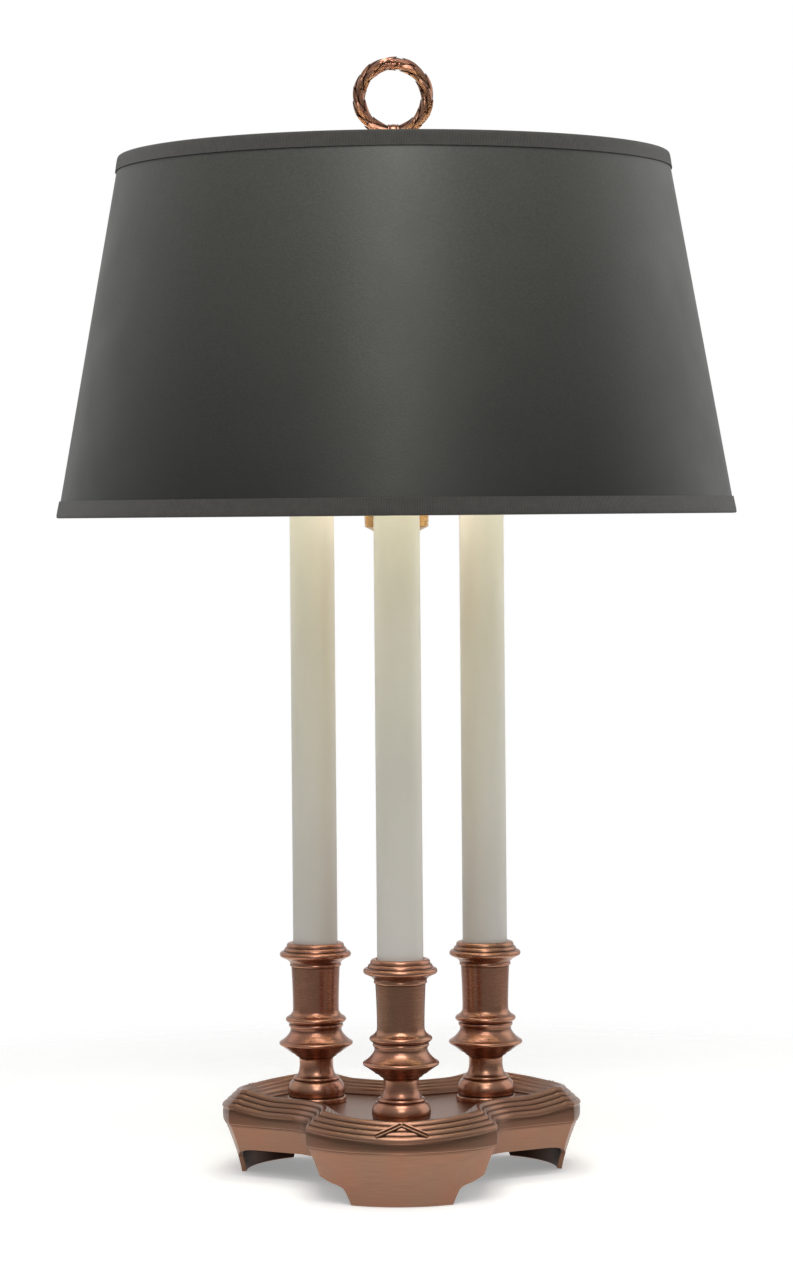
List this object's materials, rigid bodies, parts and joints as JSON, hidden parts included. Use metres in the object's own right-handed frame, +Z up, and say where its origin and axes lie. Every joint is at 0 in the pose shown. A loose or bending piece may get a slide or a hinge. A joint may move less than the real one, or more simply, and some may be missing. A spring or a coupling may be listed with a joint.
{
  "type": "bouillotte lamp",
  "caption": "Table lamp with ivory candle tubes on a lobed copper-bronze tray, a socket cluster on a central stem, a charcoal drum shade and a wreath finial.",
  "frame": {"origin": "on the table, on the axis of the central stem", "axes": "+Z up along the stem; the front candle stands on -Y and the wreath faces -Y"},
  "size_m": [0.4063, 0.4064, 0.6713],
  "materials": {
    "cast_copper_bronze": "cast brass, satin brushed and plated in antique copper-bronze, dark in the recesses",
    "iron": "raw grey iron",
    "zinc_steel": "zinc-plated steel",
    "wire_steel": "dark coated steel wire",
    "black_rubber": "moulded black rubber",
    "lacquered_brass": "spun and drawn brass, clear lacquered",
    "ivory_enamel": "smooth satin ivory enamel",
    "fibre_card": "vulcanised fibre card",
    "phenolic": "moulded phenolic",
    "nickel_screw": "rolled thread, bright",
    "knob_phenolic": "moulded phenolic, fluted",
    "opal_glass": "soft white coated glass",
    "shade_laminate": "charcoal hardback parchment, satin outside and soft gold inside",
    "shade_tape": "charcoal woven tape"
  },
  "bodies": {
    "stand": {"base_casting": "cast_copper_bronze", "weight": "iron", "stem_washer": "zinc_steel", "stem_nut": "zinc_steel", "cord_bushing": "black_rubber", "stem_collar": "lacquered_brass", "stem_pipe": "zinc_steel", "stem_sleeve": "lacquered_brass", "upper_sleeve": "lacquered_brass", "candle_foot_1": "cast_copper_bronze", "candle_foot_2": "cast_copper_bronze", "candle_foot_3": "cast_copper_bronze", "candle_knop_1": "cast_copper_bronze", "candle_knop_2": "cast_copper_bronze", "candle_knop_3": "cast_copper_bronze", "candle_cup_1": "cast_copper_bronze", "candle_cup_2": "cast_copper_bronze", "candle_cup_3": "cast_copper_bronze", "candle_tube_1": "ivory_enamel", "candle_tube_2": "ivory_enamel", "candle_tube_3": "ivory_enamel", "candle_cap_1": "lacquered_brass", "candle_cap_2": "lacquered_brass", "candle_cap_3": "lacquered_brass", "candle_rods": "zinc_steel", "candle_nuts": "zinc_steel", "cluster_body": "lacquered_brass", "cluster_cover": "lacquered_brass", "socket_nipples": "lacquered_brass", "socket_cap_1": "lacquered_brass", "socket_cap_2": "lacquered_brass", "socket_cap_3": "lacquered_brass", "socket_shell_1": "lacquered_brass", "socket_shell_2": "lacquered_brass", "socket_shell_3": "lacquered_brass", "socket_liners": "fibre_card", "socket_cores": "phenolic", "screw_shells": "nickel_screw", "shade_seat": "lacquered_brass"},
    "shade": {"spider_hub": "lacquered_brass", "spider_arms": "lacquered_brass", "shade_panel": "shade_laminate", "top_wire": "wire_steel", "bottom_wire": "wire_steel", "top_tape_band": "shade_tape", "bottom_tape_band": "shade_tape"},
    "finial": {"finial_stem": "cast_copper_bronze", "finial_wreath": "cast_copper_bronze"},
    "knob_1": {"switch_knob_1": "knob_phenolic"},
    "knob_2": {"switch_knob_2": "knob_phenolic"},
    "knob_3": {"switch_knob_3": "knob_phenolic"},
    "bulb_1": {"bulb_base_1": "nickel_screw", "bulb_glass_1": "opal_glass"},
    "bulb_2": {"bulb_base_2": "nickel_screw", "bulb_glass_2": "opal_glass"},
    "bulb_3": {"bulb_base_3": "nickel_screw", "bulb_glass_3": "opal_glass"}
  },
  "joints": [
    {"name": "shade_turn", "type": "hinge", "parent": "stand", "child": "shade", "pos_m": [0, 0, 0.6008], "axis": [0, 0, 1], "continuous": true},
    {"name": "finial_turn", "type": "hinge", "parent": "stand", "child": "finial", "pos_m": [0, 0, 0.6066], "axis": [0, 0, 1], "continuous": true},
    {"name": "knob_1_turn", "type": "hinge", "parent": "stand", "child": "knob_1", "pos_m": [0, 0.04045, 0.4228], "axis": [0, 0.7071, -0.7071], "continuous": true},
    {"name": "knob_2_turn", "type": "hinge", "parent": "stand", "child": "knob_2", "pos_m": [-0.03503, -0.02022, 0.4228], "axis": [-0.6124, -0.3536, -0.7071], "continuous": true},
    {"name": "knob_3_turn", "type": "hinge", "parent": "stand", "child": "knob_3", "pos_m": [0.03503, -0.02022, 0.4228], "axis": [0.6124, -0.3536, -0.7071], "continuous": true},
    {"name": "bulb_1_turn", "type": "hinge", "parent": "stand", "child": "bulb_1", "pos_m": [0, 0, 0.38235], "axis": [0, 0.7071, 0.7071], "continuous": true},
    {"name": "bulb_2_turn", "type": "hinge", "parent": "stand", "child": "bulb_2", "pos_m": [0, 0, 0.38235], "axis": [-0.6124, -0.3536, 0.7071], "continuous": true},
    {"name": "bulb_3_turn", "type": "hinge", "parent": "stand", "child": "bulb_3", "pos_m": [0, 0, 0.38235], "axis": [0.6124, -0.3536, 0.7071], "continuous": true}
  ]
}
